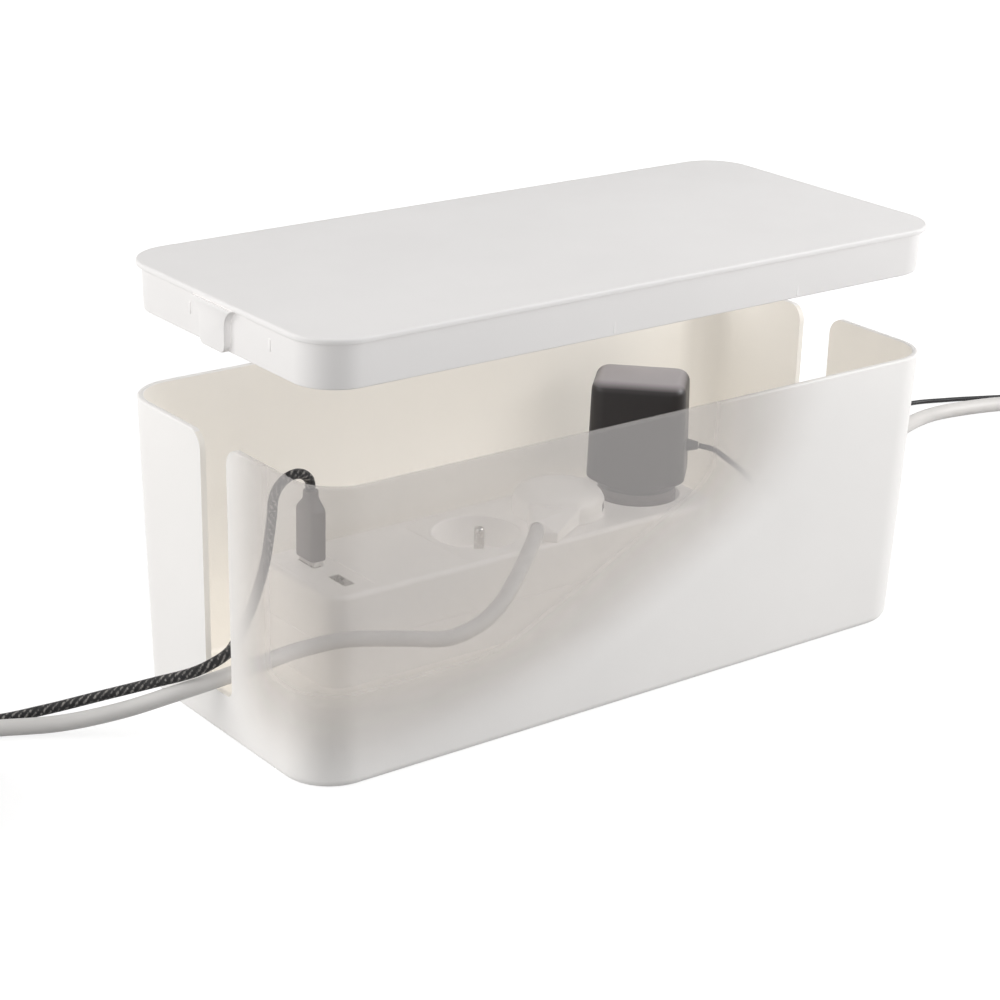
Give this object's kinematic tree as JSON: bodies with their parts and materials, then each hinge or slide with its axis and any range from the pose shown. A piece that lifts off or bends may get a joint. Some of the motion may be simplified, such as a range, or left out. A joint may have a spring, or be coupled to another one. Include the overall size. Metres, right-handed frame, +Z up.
{
  "type": "cable management box",
  "caption": "Lidded cable box with an open slot in each end, holding a socket strip, a flat plug, a plug-in adapter, a USB plug and their cords.",
  "frame": {"origin": "centre of the tub's underside, on the table", "axes": "+X along the tub towards the strip lead's slot, +Y to the back wall behind the strip, +Z up"},
  "size_m": [0.9337, 0.2535, 0.1885],
  "materials": {
    "white_shell": "matte",
    "strip_white": "satin",
    "plug_white": "satin",
    "dark_plastic": "satin",
    "black_gloss": "gloss",
    "shutter_white": "matte",
    "brass": "brushed",
    "nickel": "polished",
    "steel": "zinc plated",
    "braid": "braided",
    "grey_cord": "satin",
    "black_cord": "satin",
    "white_cord": "satin",
    "board_green": "solder resist",
    "ferrite": "tape",
    "capacitor": "sleeve",
    "brown_wire": "pvc",
    "blue_wire": "pvc",
    "green_wire": "pvc"
  },
  "bodies": {
    "box": {"tub": "white_shell", "strip_base": "strip_white", "strip_cover": "strip_white", "socket_face": "strip_white", "socket_cups": "strip_white", "strip_screws": "steel", "shutters_held_open": "shutter_white", "live_bus": "brass", "neutral_bus": "brass", "earth_bus": "brass", "earth_pins": "nickel", "cord_clamp": "dark_plastic", "clamp_screws": "steel", "live_wire": "brown_wire", "neutral_wire": "blue_wire", "earth_wire": "green_wire", "strip_gland": "white_cord", "usb_panel": "strip_white", "usb_port_shells": "nickel", "usb_port_tongues": "shutter_white", "usb_board": "board_green", "usb_transformer": "ferrite", "usb_capacitors": "capacitor", "usb_feed_wires": "dark_plastic", "usb_cord": "braid", "usb_cord_coil": "braid", "usb_c_grip": "dark_plastic", "usb_c_shell": "nickel", "plug_cord": "grey_cord", "plug_cord_coil": "grey_cord", "appliance_connector": "grey_cord", "appliance_contacts": "brass", "dc_cord": "black_cord", "dc_cord_coil": "black_cord", "dc_plug_grip": "black_cord", "dc_plug_barrel": "nickel", "strip_lead": "white_cord", "strip_lead_coil": "white_cord", "wall_plug_body": "plug_white", "wall_plug_pins": "nickel"},
    "lid": {"lid": "white_shell"},
    "usb_plug": {"usb_plug_grip": "dark_plastic", "usb_plug_shell": "nickel", "usb_plug_contacts": "shutter_white"},
    "flat_plug": {"flat_plug_base": "plug_white", "flat_plug_cap": "plug_white", "flat_plug_pins": "nickel", "flat_plug_earth_sleeve": "nickel", "flat_plug_screw": "steel"},
    "adapter": {"adapter_base": "dark_plastic", "adapter_case": "black_gloss", "adapter_pins": "nickel", "adapter_earth_sleeve": "nickel", "adapter_board": "board_green", "adapter_transformer": "ferrite", "adapter_sleeve": "black_cord"},
    "shutter": {"socket_shutter": "shutter_white"}
  },
  "joints": [
    {"name": "lid_lift", "type": "slide", "parent": "box", "child": "lid", "axis": [0, 0, 1], "range_m": [-0.0557, 0.04]},
    {"name": "usb_plug_pull", "type": "slide", "parent": "box", "child": "usb_plug", "axis": [0, 0, 1], "range_m": [0, 0.014], "deforming": ["usb_cord"]},
    {"name": "flat_plug_pull", "type": "slide", "parent": "box", "child": "flat_plug", "axis": [0, 0, 1], "range_m": [0, 0.035], "deforming": ["plug_cord"]},
    {"name": "adapter_pull", "type": "slide", "parent": "box", "child": "adapter", "axis": [0, 0, 1], "range_m": [0, 0.0265], "deforming": ["dc_cord"]},
    {"name": "shutter_slide", "type": "slide", "parent": "box", "child": "shutter", "axis": [-0.7071, -0.7071, 0], "range_m": [0, 0.007], "stiffness_N_per_m": 40}
  ]
}
